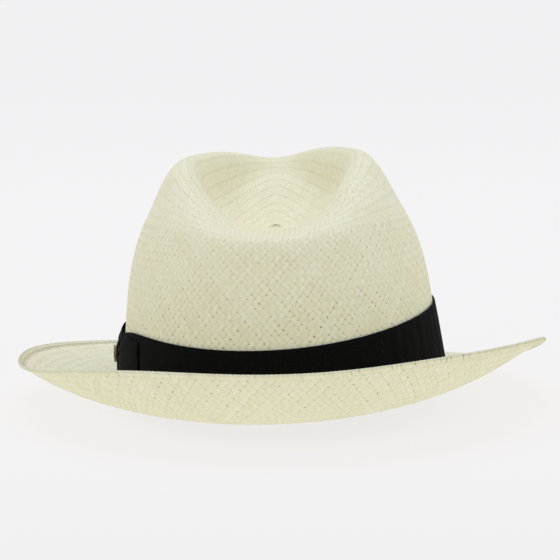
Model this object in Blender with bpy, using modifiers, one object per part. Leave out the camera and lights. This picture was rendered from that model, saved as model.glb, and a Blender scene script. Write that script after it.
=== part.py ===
"""A Panama hat: a woven straw body with a creased crown and a turned-up back brim, a black ribbon
band with a bow and a pin badge on the wearer's left, and a sweatband sewn inside.

Metres, +Z up. The hat is modelled square to its own head opening, with the wearer facing -Y and the
wearer's left at +X. An empty then tips it onto the points that it rests on, with the origin at the
middle of the bottom of its box.

Angles go round the head opening: 0 at the back (+Y), 90 at the wearer's left (+X), 180 at the front.
"""

import math

import bmesh
import bpy
import numpy as np
from mathutils import Matrix, Vector

MM = 0.001
GAP = 0.3 * MM                      # air between two pieces that touch

# Head opening, measured on the outside of the straw
HEAD_HALF_WIDTH = 85.5 * MM
HEAD_HALF_LENGTH = 102.5 * MM
HEAD_ARCH = 3.0 * MM                # how much higher the opening is at the sides

STRAW_THICKNESS = 1.2 * MM
BRIM_WIDTH = 60.0 * MM              # measured along the brim, not along the table
BRIM_START_SLOPE = {"back": -4.5, "side": 0.0, "front": -4.0}
BRIM_SLOPE = (68, 67, 45, 35, 24, 8, -6, -14, -8, 28, 52, 65)   # at the edge, every 30 degrees
BRIM_CURVE = 0.9                    # how early across the brim the slope changes
BRIM_STEPS = 30                     # of the sum that follows the slope out across the brim
BREAK_RADIUS = 5.0 * MM             # of the bend between brim and crown

# The crown is lofted through closed sections. Each one has a half width, a reach to the back and to
# the front, a height at the back, side and front, and how much higher it is between those.
SECTION_POSITION = (0.0, 0.17, 0.34, 0.50, 0.64, 0.82, 1.0)
CROWN_SECTIONS = (
    dict(width=83.5, back=100.0, front=100.0, height=(38.0, 39.8, 38.0)),
    dict(width=78.0, back=95.5, front=94.0, height=(71.5, 72.1, 71.5)),
    dict(width=67.1, back=87.0, front=84.0, height=(89.5, 97.0, 99.5), swell=(3.0, 0.5), taper=0.11),
    dict(width=46.2, back=64.5, front=67.0, height=(87.5, 132.0, 120.1), swell=(4.3, 2.5), taper=0.28),
    dict(width=28.5, back=44.0, front=44.0, height=(88.0, 99.5, 109.0), taper=0.28),
)
DENT_CENTRE = (0.0, 5.0 * MM, 86.0 * MM)
RIDGE_POSITION = SECTION_POSITION[4]
RIDGE_ROUNDING = 0.08               # how far the ridge round the dent is averaged over
RIDGE_SPREAD = 0.2                  # how far from the ridge that fades out

BAND_HEIGHT = 36.5 * MM
BAND_SKEW = 1.75 * MM               # higher at the wearer's right than at the left
BAND_SADDLE = 1.75 * MM             # higher at the sides than at the front and back
BAND_DIP = 7.0 * MM                 # how far the bow pulls the band's upper edge down
BAND_DIP_REACH = 12.0               # degrees either side of the bow
BAND_START = 5.0 * MM               # above the head opening
BAND_THICKNESS = 0.6 * MM

BOW_ANGLE = 87.0                    # where the knot sits
BOW_HEIGHT = 17.5 * MM              # of the knot's middle above the head opening
WING_START = 4.5 * MM               # from the knot's middle, under the knot
WING_LENGTH = 46.0 * MM
WING_HALF_HEIGHT = (7.0 * MM, 15.5 * MM)    # at the knot, and at the outer end
WING_THICKNESS = 2.0 * MM
WING_BULGE = 1.2 * MM
WING_FAN = (9.0 * MM, 31.0 * MM)    # from the knot's middle, where a wing starts and stops widening
KNOT_WIDTH = 13.0 * MM
KNOT_HEIGHT = 25.0 * MM
KNOT_THICKNESS = 0.6 * MM
KNOT_FLAT = 0.8                     # share of the knot's half height that lies flat over the wings
BADGE_WIDTH = 7.6 * MM
BADGE_HEIGHT = 9.4 * MM
BADGE_THICKNESS = 1.3 * MM
BADGE_RIM = 0.8 * MM
BADGE_RECESS = 0.35 * MM
POST_RADIUS = 0.5 * MM
CLUTCH_RADIUS = 3.2 * MM
CLUTCH_THICKNESS = 0.8 * MM
POST_GAP = 0.1 * MM                 # between the post and the badge's back
CUTTER_SPARE = 1.0 * MM             # how far a cutter reaches past what it cuts

TACK_ANGLES = {"right_rear": 322.0, "left_front": 142.0}
TACK_DROPS = {"upper": 4.6 * MM, "lower": 10.0 * MM}        # below the band's upper edge
TACK_LENGTH = 1.4 * MM

SWEATBAND_START = 1.8 * MM
SWEATBAND_HEIGHT = 32.0 * MM
SWEATBAND_THICKNESS = 0.9 * MM
SWEATBAND_LEAN = 1.5 * MM           # how far its free edge stands off the straw
REED_RADIUS = 0.9 * MM
STITCH_HEIGHT = 3.0 * MM            # above the sweatband's sewn edge
THREAD_RADIUS = 0.3 * MM
EDGE_STITCH_INSET = 4.0 * MM        # from the brim's edge
JOINT_TAPE = (13.0 * MM, 27.0 * MM, 0.4 * MM)               # width, height, thickness
JOINT_TAPE_START = 4.2 * MM         # above the sweatband's sewn edge
LINING_BOW_LOOP = (11.0 * MM, 3.2 * MM, 1.2 * MM)           # length, half height, thickness
LINING_BOW_KNOT = (3.4 * MM, 4.4 * MM, 1.6 * MM)            # width, height, thickness
LINING_BOW_HEIGHT = 24.0 * MM
LOOP_NECK = 0.45                    # a loop's height at the knot, against its greatest height
LOOP_FULLNESS = 0.7 * math.pi       # how far through its arch a loop is at its outer end
LABEL_ANGLE = 32.0
LABEL = (22.0 * MM, 11.0 * MM, 0.3 * MM)
LABEL_START = 9.0 * MM              # above the sweatband's sewn edge

ROUND_STEPS = 72
BRIM_ROWS = (1.0, 0.93, 0.8, 0.62, 0.44, 0.26, 0.15)
BREAK_ROWS = (0.0, 0.33, 0.67, 1.0)
CROWN_ROWS = (0.08, 0.17, 0.26, 0.34, 0.42, 0.48, 0.53, 0.565, 0.59, 0.615, 0.64, 0.665, 0.69, 0.73,
              0.78, 0.83, 0.89, 0.95)
BAND_STEPS = 72
THREAD_STEPS = 90
REST_PITCH = math.radians(1.06)     # the back of the crown leans down, the front brim stands on its edge
REST_ROLL = math.radians(2.36)      # the wearer's left side is the lower one

COLOURS = {
    "straw": ((0.80, 0.76, 0.60), 0.62, 0.0),
    "ribbon": ((0.006, 0.006, 0.006), 0.70, 0.0),
    "thread": ((0.72, 0.66, 0.50), 0.60, 0.0),
    "black_thread": ((0.02, 0.02, 0.02), 0.60, 0.0),
    "badge": ((0.62, 0.46, 0.20), 0.30, 1.0),
    "sweatband": ((0.34, 0.19, 0.09), 0.55, 0.0),
    "reed": ((0.75, 0.72, 0.62), 0.40, 0.0),
    "label": ((0.85, 0.84, 0.80), 0.60, 0.0),
}


# ---------------------------------------------------------------- the shape of the hat block

def around_sides(angle, back, side, front):
    """A value given at the back, side and front, blended round the oval."""
    c = np.cos(angle)
    return side + np.where(c > 0, back - side, front - side) * c * c


def section(angle, width, back, front, height, swell=(0, 0), taper=0.0):
    """One closed section of the crown, as points in metres."""
    s, c = np.sin(angle), np.cos(angle)
    x = width * s * (1 + taper * c)
    y = np.where(c > 0, back, front) * c
    z = around_sides(angle, *height) + np.where(c > 0, swell[0], swell[1]) * (2 * s * c) ** 2
    return np.array([x, y, z]) * MM


def crown_sections(angle):
    opening = np.array([HEAD_HALF_WIDTH * np.sin(angle), HEAD_HALF_LENGTH * np.cos(angle),
                        HEAD_ARCH * np.sin(angle) ** 2])
    centre = np.array(DENT_CENTRE)[:, None] + 0 * opening
    return np.array([opening, *(section(angle, **one) for one in CROWN_SECTIONS), centre])


def loft(angle, t):
    """Points of the smooth surface through the crown's sections."""
    knots = np.array(SECTION_POSITION)
    rings = crown_sections(angle)
    steps = np.diff(knots)[:, None, None]
    slopes = np.diff(rings, axis=0) / steps
    tangents = np.empty_like(rings)
    tangents[0] = slopes[0]
    tangents[1:-1] = (slopes[:-1] * steps[1:] + slopes[1:] * steps[:-1]) / (steps[1:] + steps[:-1])
    tangents[-1] = slopes[-1] * np.array([1, 1, 0])[:, None]
    i = int(np.clip(np.searchsorted(knots, t, side="right") - 1, 0, len(knots) - 2))
    h = knots[i + 1] - knots[i]
    u = (t - knots[i]) / h
    return ((2 * u**3 - 3 * u**2 + 1) * rings[i] + (u**3 - 2 * u**2 + u) * h * tangents[i]
            + (3 * u**2 - 2 * u**3) * rings[i + 1] + (u**3 - u**2) * h * tangents[i + 1])


def crown(angle, t):
    """Points of the crown's outer face, from the head opening (t = 0) to the dent's middle (t = 1). The
    ridge round the dent is softened by averaging it with the surface on either side."""
    reach = RIDGE_ROUNDING * max(0, 1 - ((t - RIDGE_POSITION) / RIDGE_SPREAD) ** 2) ** 2
    return (loft(angle, t - reach) + 2 * loft(angle, t) + loft(angle, t + reach)) / 4


def periodic(angle, values):
    """A smooth closed curve through evenly spaced values: its trigonometric interpolation."""
    n = len(values)
    spectrum = np.fft.rfft(values) / n
    total = spectrum[0].real + 0 * angle
    for k in range(1, len(spectrum)):
        weight = 1 if 2 * k == n else 2
        total = total + weight * (spectrum[k] * np.exp(1j * k * angle)).real
    return total


def brim(angle, distance):
    """Points of the brim's upper face, a distance (0 to 1) across it from the head opening."""
    across, up = HEAD_HALF_WIDTH, HEAD_HALF_LENGTH
    nx, ny = np.sin(angle) / across, np.cos(angle) / up
    size = np.hypot(nx, ny)
    nx, ny = nx / size, ny / size
    start = around_sides(angle, *(BRIM_START_SLOPE[k] for k in ("back", "side", "front")))
    end = periodic(angle, BRIM_SLOPE)
    run, rise = 0 * angle, 0 * angle
    for k in range(BRIM_STEPS):
        part = distance * (k + 0.5) / BRIM_STEPS
        slope = np.radians(start + (end - start) * part**BRIM_CURVE)
        run = run + np.cos(slope) * distance / BRIM_STEPS
        rise = rise + np.sin(slope) * distance / BRIM_STEPS
    return np.array([across * np.sin(angle) + nx * BRIM_WIDTH * run,
                     up * np.cos(angle) + ny * BRIM_WIDTH * run,
                     HEAD_ARCH * np.sin(angle) ** 2 + BRIM_WIDTH * rise])


def brim_break(angle, u):
    """The rounded bend from the brim (u = 0) up into the crown (u = 1)."""
    low = brim(angle, BREAK_RADIUS / BRIM_WIDTH)
    corner = crown(angle, 0)
    high = crown(angle, BREAK_END)
    return (1 - u) ** 2 * low + 2 * u * (1 - u) * corner + u**2 * high


BREAK_END = SECTION_POSITION[1] * BREAK_RADIUS / (CROWN_SECTIONS[0]["height"][0] * MM)


def oval_out(angle):
    """The level direction that points out of the head opening."""
    out = np.array([np.sin(angle) / HEAD_HALF_WIDTH, np.cos(angle) / HEAD_HALF_LENGTH, 0 * angle])
    return out / np.linalg.norm(out, axis=0)


def wall(angle, height, offset):
    """Points at a height above the head opening, an offset out of the crown's outer face."""
    angle, height, offset = np.broadcast_arrays(np.asarray(angle, float), height, offset)
    z = height + HEAD_ARCH * np.sin(angle) ** 2
    ladder = [crown(angle, t) for t in np.linspace(0, SECTION_POSITION[3], 40)]
    points = ladder[0].copy()
    for low, high in zip(ladder, ladder[1:]):
        part = np.clip((z - low[2]) / (high[2] - low[2]), 0, 1)
        points = np.where(z >= low[2], low + part * (high - low), points)
    points = points + offset * oval_out(angle)
    points[2] = z
    return points


def arc_angle(centre, arc):
    """The angle that lies an arc length round the opening from a centre angle in degrees."""
    middle = math.radians(centre)
    speed = math.hypot(HEAD_HALF_WIDTH * math.cos(middle), HEAD_HALF_LENGTH * math.sin(middle))
    return middle + arc / speed


def band_top(angle):
    """Height of the band's upper edge above the head opening."""
    away = (angle - math.radians(BOW_ANGLE) + math.pi) % (2 * math.pi) - math.pi
    dip = BAND_DIP * np.exp(-0.5 * (away / math.radians(BAND_DIP_REACH)) ** 2)
    return BAND_HEIGHT - BAND_SKEW * np.sin(angle) - BAND_SADDLE * np.cos(2 * angle) - dip


# ---------------------------------------------------------------- building

def collection(name):
    made = bpy.data.collections.new(name)
    bpy.context.scene.collection.children.link(made)
    return made


def material(name):
    colour, roughness, metallic = COLOURS[name]
    made = bpy.data.materials.get(name)
    if made:
        return made
    made = bpy.data.materials.new(name)
    made.use_nodes = True
    shader = made.node_tree.nodes["Principled BSDF"]
    shader.inputs["Base Color"].default_value = (*colour, 1)
    shader.inputs["Roughness"].default_value = roughness
    shader.inputs["Metallic"].default_value = metallic
    made.diffuse_color = (*colour, 1)
    return made


def add_object(name, data, slot, holder):
    piece = bpy.data.objects.new(name, data)
    data.materials.append(material(slot))
    holder.objects.link(piece)
    piece.parent = bpy.data.objects["rest_pose"]
    return piece


def grid_piece(name, rows, slot, holder, closed=False, tip=None):
    """An open surface through rows of points, each an array of x, y and z."""
    shape = bmesh.new()
    verts = [[shape.verts.new(point) for point in row.T] for row in rows]
    for low, high in zip(verts, verts[1:]):
        pairs = list(zip(range(len(low)), range(1, len(low))))
        if closed:
            pairs.append((len(low) - 1, 0))
        for i, j in pairs:
            shape.faces.new((low[i], high[i], high[j], low[j]))
    if tip is not None:
        end = shape.verts.new(tip)
        last = verts[-1]
        for i in range(len(last)):
            shape.faces.new((last[i], end, last[(i + 1) % len(last)]))
    mesh = bpy.data.meshes.new(name)
    shape.to_mesh(mesh)
    shape.free()
    mesh.shade_smooth()
    return add_object(name, mesh, slot, holder)


def thicken(piece, thickness, outward):
    """Solidify an open surface along its normals, or against them."""
    solid = piece.modifiers.new("thickness", "SOLIDIFY")
    solid.thickness = thickness
    solid.offset = 1 if outward else -1
    solid.use_even_offset = True
    return piece


def ring_tube(name, points, radius, slot, holder):
    """A closed ring of thread or cord through points, as a curve with a round bevel."""
    curve = bpy.data.curves.new(name, "CURVE")
    curve.dimensions = "3D"
    curve.bevel_depth = radius
    curve.bevel_resolution = 1
    spline = curve.splines.new("POLY")
    spline.points.add(points.shape[1] - 1)
    for knot, point in zip(spline.points, points.T):
        knot.co = (*point, 1)
    spline.use_cyclic_u = True
    return add_object(name, curve, slot, holder)


def wall_patch(name, centre, arcs, rows, height, offset, thickness, slot, holder, outward=True):
    """A sheet along the wall. height and offset are functions of the arc and of v, from 0 to 1."""
    arcs = np.asarray(arcs, float)
    lines = []
    for v in np.linspace(0, 1, rows):
        lines.append(wall(arc_angle(centre, arcs), height(arcs, v), offset(arcs, v)))
    return thicken(grid_piece(name, lines, slot, holder), thickness, outward)


def round_angles(steps):
    return np.arange(steps) * 2 * math.pi / steps


# ---------------------------------------------------------------- straw

def make_straw_body(holder):
    """Brim and crown are woven in one piece, so they are one shell."""
    angle = round_angles(ROUND_STEPS)
    rows = [brim(angle, d) for d in BRIM_ROWS]
    rows += [brim_break(angle, u) for u in BREAK_ROWS]
    rows += [crown(angle, t) for t in CROWN_ROWS]
    piece = grid_piece("straw_body", rows, "straw", holder, closed=True, tip=crown(angle, 1)[:, 0])
    return thicken(piece, STRAW_THICKNESS, outward=False)


def make_edge_stitching(holder):
    angle = round_angles(THREAD_STEPS)
    inset = 1 - EDGE_STITCH_INSET / BRIM_WIDTH
    here, further = brim(angle, inset), brim(angle, inset + 0.01)
    along = np.roll(here, -1, axis=1) - np.roll(here, 1, axis=1)
    normal = np.cross(along.T, (further - here).T).T
    normal *= np.sign(normal[2]) / np.linalg.norm(normal, axis=0)
    ring_tube("brim_edge_stitching", here + normal * (GAP + THREAD_RADIUS), THREAD_RADIUS,
              "thread", holder)


# ---------------------------------------------------------------- band, bow and badge

def make_hatband(holder):
    angle = round_angles(BAND_STEPS)
    rows = [wall(angle, BAND_START + v * (band_top(angle) - BAND_START), GAP)
            for v in (0, 0.25, 0.5, 0.75, 1)]
    thicken(grid_piece("hatband", rows, "ribbon", holder, closed=True), BAND_THICKNESS, outward=True)


def make_tacks(holder):
    """Short stitches that hold the band to the straw."""
    offset = GAP + BAND_THICKNESS + GAP + THREAD_RADIUS
    for place, degrees in TACK_ANGLES.items():
        for level, drop in TACK_DROPS.items():
            angle = np.array([math.radians(degrees)])
            middle = wall(angle, band_top(angle) - drop, offset)[:, 0]
            bpy.ops.mesh.primitive_uv_sphere_add(segments=10, ring_count=6, radius=THREAD_RADIUS)
            made = bpy.context.object.data
            bpy.data.objects.remove(bpy.context.object)
            made.transform(Matrix.Diagonal((1, 1, TACK_LENGTH / (2 * THREAD_RADIUS), 1)))
            made.shade_smooth()
            tack = add_object(f"hatband_tack_{place}_{level}", made, "black_thread", holder)
            tack.location = middle


def wing_half_height(reach):
    """Half the ribbon's height in a wing, at a distance from the knot's middle."""
    start, stop = WING_FAN
    part = np.clip((reach - start) / (stop - start), 0, 1)
    low, high = WING_HALF_HEIGHT
    return low + (high - low) * part**2 * (3 - 2 * part)


def make_wing(name, side, holder):
    """A flattened loop of ribbon that fans out from the knot. side is -1 for the back, 1 for the front."""
    reach = WING_START + np.linspace(0, 1, 13) * WING_LENGTH

    def height(arcs, v):
        return BOW_HEIGHT + (2 * v - 1) * wing_half_height(np.abs(arcs))

    def offset(arcs, v):
        part = (np.abs(arcs) - WING_START) / WING_LENGTH
        return 2 * GAP + BAND_THICKNESS + GAP + WING_BULGE * np.sin(part * math.pi) * math.sin(v * math.pi)

    wall_patch(name, BOW_ANGLE, np.sort(side * reach), 9, height, offset, WING_THICKNESS,
               "ribbon", holder)


def knot_offset(arcs, v):
    """The knot lies flat over the wings and turns in above and below them."""
    foot = GAP + BAND_THICKNESS + 2 * GAP
    over = foot + WING_THICKNESS + GAP
    beyond = np.clip((abs(2 * v - 1) - KNOT_FLAT) / (1 - KNOT_FLAT), 0, 1)
    return over + 0 * arcs - (over - foot) * beyond


def make_knot(holder, cutters):
    def height(arcs, v):
        return BOW_HEIGHT + (v - 0.5) * KNOT_HEIGHT + 0 * arcs

    arcs = np.linspace(-0.5, 0.5, 5) * KNOT_WIDTH
    knot = wall_patch("bow_knot", BOW_ANGLE, arcs, 13, height, knot_offset, KNOT_THICKNESS,
                      "ribbon", holder)
    hole = badge_part("post_hole", POST_RADIUS + GAP, POST_RADIUS + GAP, -KNOT_THICKNESS - 3 * GAP,
                      3 * GAP, "ribbon", cutters)
    subtract(knot, hole)


def badge_frame():
    """Where the badge sits: its back's middle, turned so that its own +Z points out of the hat."""
    angle = np.array([math.radians(BOW_ANGLE)])
    out = oval_out(angle)[:, 0]
    face = knot_offset(np.array([0.0]), 0.5)[0] + KNOT_THICKNESS + GAP
    middle = wall(angle, BOW_HEIGHT, face)[:, 0]
    up = Vector((0, 0, 1))
    out = Vector(out)
    turn = Matrix((up.cross(out), up, out)).transposed().to_4x4()
    return Matrix.Translation(Vector(middle)) @ turn


def badge_part(name, half_width, half_height, low, high, slot, holder):
    """An oval disc between two depths along the badge's axis."""
    bpy.ops.mesh.primitive_cylinder_add(vertices=32, radius=1, depth=high - low,
                                        location=(0, 0, 0))
    made = bpy.context.object.data
    bpy.data.objects.remove(bpy.context.object)
    made.transform(Matrix.Translation((0, 0, (low + high) / 2))
                   @ Matrix.Diagonal((half_width, half_height, 1, 1)))
    made.transform(badge_frame())
    made.shade_smooth()
    made.set_sharp_from_angle(angle=math.radians(40))
    return add_object(name, made, slot, holder)


def subtract(piece, cutter):
    cutter.hide_render = True
    cutter.display_type = "WIRE"
    cut = piece.modifiers.new(cutter.name, "BOOLEAN")
    cut.operation = "DIFFERENCE"
    cut.object = cutter


def make_badge(holder, cutters):
    width, height = BADGE_WIDTH / 2, BADGE_HEIGHT / 2
    plate = badge_part("badge_plate", width, height, 0, BADGE_THICKNESS, "badge", holder)
    recess = badge_part("badge_recess", width - BADGE_RIM, height - BADGE_RIM,
                        BADGE_THICKNESS - BADGE_RECESS, BADGE_THICKNESS + CUTTER_SPARE, "badge", cutters)
    subtract(plate, recess)
    clutch_top = -(KNOT_THICKNESS + 2 * GAP)
    badge_part("badge_post", POST_RADIUS, POST_RADIUS, clutch_top - CLUTCH_THICKNESS, -POST_GAP,
               "badge", holder)
    clutch = badge_part("badge_clutch", CLUTCH_RADIUS, CLUTCH_RADIUS,
                        clutch_top - CLUTCH_THICKNESS, clutch_top, "badge", holder)
    bore = badge_part("clutch_bore", POST_RADIUS + GAP, POST_RADIUS + GAP,
                      clutch_top - CLUTCH_THICKNESS - CUTTER_SPARE, clutch_top + CUTTER_SPARE,
                      "badge", cutters)
    subtract(clutch, bore)


# ---------------------------------------------------------------- sweatband

def inside(height, depth):
    """Offset of a layer on the sweatband's inner face, which leans off the straw as it rises."""
    part = (height - SWEATBAND_START) / SWEATBAND_HEIGHT
    return -(STRAW_THICKNESS + GAP + SWEATBAND_LEAN * part**2 + depth)


def make_sweatband(holder):
    angle = round_angles(BAND_STEPS)
    heights = SWEATBAND_START + np.linspace(0, 1, 5) * SWEATBAND_HEIGHT
    rows = [wall(angle, h, inside(h, 0)) for h in heights]
    thicken(grid_piece("sweatband", rows, "sweatband", holder, closed=True),
            SWEATBAND_THICKNESS, outward=False)
    reed = wall(angle, SWEATBAND_START - GAP - REED_RADIUS,
                inside(SWEATBAND_START, SWEATBAND_THICKNESS / 2))
    ring_tube("sweatband_reed", reed, REED_RADIUS, "reed", holder)
    stitch_height = SWEATBAND_START + STITCH_HEIGHT
    seam = wall(round_angles(THREAD_STEPS), stitch_height,
                inside(stitch_height, SWEATBAND_THICKNESS + GAP + THREAD_RADIUS))
    ring_tube("sweatband_stitching", seam, THREAD_RADIUS, "black_thread", holder)


def lining_patch(name, centre, arcs, rows, height, depth, thickness, slot, holder):
    """A sheet on the sweatband's inner face, a depth in from it."""
    def offset(places, v):
        return inside(height(places, v), SWEATBAND_THICKNESS + depth)

    wall_patch(name, centre, arcs, rows, height, offset, thickness, slot, holder, outward=False)


def make_lining_details(holder):
    width, tall, thick = JOINT_TAPE
    tape_start = SWEATBAND_START + JOINT_TAPE_START
    lining_patch("sweatband_joint_tape", 0, np.linspace(-0.5, 0.5, 5) * width, 5,
                 lambda arcs, v: tape_start + v * tall + 0 * arcs, GAP, thick, "sweatband", holder)
    on_tape = GAP + thick + GAP
    length, half, loop_thick = LINING_BOW_LOOP
    knot_width, knot_tall, knot_thick = LINING_BOW_KNOT
    for name, side in (("left", 1), ("right", -1)):
        reach = knot_width / 2 + GAP + np.linspace(0, 1, 7) * length

        def height(arcs, v):
            part = (np.abs(arcs) - knot_width / 2 - GAP) / length
            arch = LOOP_NECK + (1 - LOOP_NECK) * np.sin(part * LOOP_FULLNESS)
            return LINING_BOW_HEIGHT + (2 * v - 1) * half * arch

        lining_patch(f"sweatband_bow_{name}", 0, np.sort(side * reach), 5, height, on_tape,
                     loop_thick, "ribbon", holder)
    lining_patch("sweatband_bow_knot", 0, np.linspace(-0.5, 0.5, 3) * knot_width, 3,
                 lambda arcs, v: LINING_BOW_HEIGHT + (v - 0.5) * knot_tall + 0 * arcs, on_tape,
                 knot_thick, "ribbon", holder)
    width, tall, thick = LABEL
    label_start = SWEATBAND_START + LABEL_START
    lining_patch("size_label", LABEL_ANGLE, np.linspace(-0.5, 0.5, 7) * width, 3,
                 lambda arcs, v: label_start + v * tall + 0 * arcs, GAP, thick, "label", holder)


# ---------------------------------------------------------------- resting on a table

def rest_on_table(pose, holder):
    """Tips the hat onto the points that carry it, and puts the origin under the middle of its box."""
    pose.rotation_euler = (REST_PITCH, REST_ROLL, 0)
    bpy.context.view_layer.update()
    graph = bpy.context.evaluated_depsgraph_get()
    low, high = Vector((1e9,) * 3), Vector((-1e9,) * 3)
    for piece in holder.objects:
        evaluated = piece.evaluated_get(graph)
        mesh = evaluated.to_mesh()
        for vertex in mesh.vertices:
            place = evaluated.matrix_world @ vertex.co
            low = Vector(map(min, low, place))
            high = Vector(map(max, high, place))
        evaluated.to_mesh_clear()
    pose.location = (-(low.x + high.x) / 2, -(low.y + high.y) / 2, -low.z)
    bpy.context.view_layer.update()


def main():
    for old in list(bpy.data.objects):
        bpy.data.objects.remove(old)
    hat, cutters = collection("panama_hat"), collection("cutters")
    cutters.hide_render = True
    pose = bpy.data.objects.new("rest_pose", None)
    bpy.context.scene.collection.objects.link(pose)
    make_straw_body(hat)
    make_edge_stitching(hat)
    make_hatband(hat)
    make_tacks(hat)
    make_wing("bow_rear_wing", -1, hat)
    make_wing("bow_front_wing", 1, hat)
    make_knot(hat, cutters)
    make_badge(hat, cutters)
    make_sweatband(hat)
    make_lining_details(hat)
    rest_on_table(pose, hat)


main()
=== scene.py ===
"""The looks of a Panama hat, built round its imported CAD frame: straw woven strand by strand, a
ribbed black ribbon with its bow and badge, a leather sweatband, and a plain pale studio.

The hat's surfaces are worked out in its own frame, square to the head opening, in metres. The
wearer faces -Y with the left side at +X, and angles go round the opening: 0 at the back, 90 at the
wearer's left, 180 at the front. to_row then tips every point onto the table, as the CAD is tipped.
"""

import math

import bpy
import numpy as np
from mathutils import Euler, Matrix, Vector


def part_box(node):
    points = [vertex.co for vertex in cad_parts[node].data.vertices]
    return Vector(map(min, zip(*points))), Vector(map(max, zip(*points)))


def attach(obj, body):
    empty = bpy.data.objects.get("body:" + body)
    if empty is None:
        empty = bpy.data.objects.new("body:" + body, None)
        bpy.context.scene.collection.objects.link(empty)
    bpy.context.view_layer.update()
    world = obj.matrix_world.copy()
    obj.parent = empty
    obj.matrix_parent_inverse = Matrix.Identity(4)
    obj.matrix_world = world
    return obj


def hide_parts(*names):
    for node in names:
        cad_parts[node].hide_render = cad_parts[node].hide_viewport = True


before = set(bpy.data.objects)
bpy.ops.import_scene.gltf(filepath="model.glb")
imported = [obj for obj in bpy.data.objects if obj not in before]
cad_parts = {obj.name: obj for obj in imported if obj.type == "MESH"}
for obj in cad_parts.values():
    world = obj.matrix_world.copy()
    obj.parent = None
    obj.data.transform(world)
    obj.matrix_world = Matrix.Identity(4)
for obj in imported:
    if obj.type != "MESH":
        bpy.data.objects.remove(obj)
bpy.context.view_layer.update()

MM = 0.001
GAP = 0.3 * MM
TAU = 2 * math.pi

# ---------------------------------------------------------------- the hat block, as in the CAD

HEAD_HALF_WIDTH = 85.5 * MM
HEAD_HALF_LENGTH = 102.5 * MM
HEAD_ARCH = 3.0 * MM
STRAW_THICKNESS = 1.2 * MM
BRIM_WIDTH = 60.0 * MM
BRIM_START_SLOPE = {"back": -4.5, "side": 0.0, "front": -4.0}
BRIM_SLOPE = (68, 67, 45, 35, 24, 8, -6, -14, -8, 28, 52, 65)
BRIM_CURVE = 0.9
BREAK_RADIUS = 5.0 * MM
SECTION_POSITION = (0.0, 0.17, 0.34, 0.50, 0.64, 0.82, 1.0)
CROWN_SECTIONS = (
    dict(width=83.5, back=100.0, front=100.0, height=(38.0, 39.8, 38.0)),
    dict(width=78.0, back=95.5, front=94.0, height=(71.5, 72.1, 71.5)),
    dict(width=67.1, back=87.0, front=84.0, height=(89.5, 97.0, 99.5), swell=(3.0, 0.5),
         taper=0.11),
    dict(width=46.2, back=64.5, front=67.0, height=(87.5, 132.0, 120.1), swell=(4.3, 2.5),
         taper=0.28),
    dict(width=28.5, back=44.0, front=44.0, height=(88.0, 99.5, 109.0), taper=0.28),
)
DENT_CENTRE = (0.0, 5.0 * MM, 86.0 * MM)
RIDGE_POSITION = SECTION_POSITION[4]
RIDGE_ROUNDING = 0.08
RIDGE_SPREAD = 0.2

BAND_HEIGHT = 36.5 * MM
BAND_SKEW = 1.75 * MM
BAND_SADDLE = 1.75 * MM
BAND_DIP = 7.0 * MM
BAND_DIP_REACH = (12.0, 20.0)
BAND_START = 5.0 * MM
BAND_THICKNESS = 0.6 * MM
BOW_ANGLE = 87.0
BOW_HEIGHT = 17.5 * MM
WING_START = 4.5 * MM
WING_LENGTH = 46.0 * MM
WING_THICKNESS = 2.0 * MM
KNOT_WIDTH = 13.0 * MM
KNOT_HEIGHT = 25.0 * MM
KNOT_THICKNESS = 0.6 * MM
BADGE_THICKNESS = 1.3 * MM
SWEATBAND_START = 1.8 * MM
SWEATBAND_HEIGHT = 32.0 * MM
SWEATBAND_THICKNESS = 0.9 * MM
SWEATBAND_LEAN = 1.5 * MM
EDGE_STITCH_INSET = 4.0 * MM
JOINT_TAPE = (13.0 * MM, 27.0 * MM, 0.4 * MM)      # width, height and thickness
LINING_BOW_LOOP = (11.0 * MM, 3.2 * MM)
LINING_BOW_KNOT = (3.4 * MM, 4.4 * MM, 1.6 * MM)
LINING_BOW_HEIGHT = 24.0 * MM
LABEL_ANGLE = 32.0
LABEL = (22.0 * MM, 11.0 * MM, 0.3 * MM)
REST_PITCH = math.radians(1.06)         # how the hat tips as it stands on a table
REST_ROLL = math.radians(2.36)

BRIM_STEPS = 30                         # steps of the brim's slope, as it is summed across
WALL_STEPS = 40                         # steps up the crown's wall


def around_sides(angle, back, side, front):
    """A value given at the back, side and front, blended round the oval."""
    c = np.cos(angle)
    return side + np.where(c > 0, back - side, front - side) * c * c


def section(angle, width, back, front, height, swell=(0, 0), taper=0.0):
    """One closed section of the crown, as points in metres."""
    s, c = np.sin(angle), np.cos(angle)
    x = width * s * (1 + taper * c)
    y = np.where(c > 0, back, front) * c
    z = around_sides(angle, *height) + np.where(c > 0, swell[0], swell[1]) * (2 * s * c) ** 2
    return np.array([x, y, z]) * MM


def crown_sections(angle):
    opening = np.array([HEAD_HALF_WIDTH * np.sin(angle), HEAD_HALF_LENGTH * np.cos(angle),
                        HEAD_ARCH * np.sin(angle) ** 2])
    centre = np.array(DENT_CENTRE)[:, None] + 0 * opening
    return np.array([opening, *(section(angle, **one) for one in CROWN_SECTIONS), centre])


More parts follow.
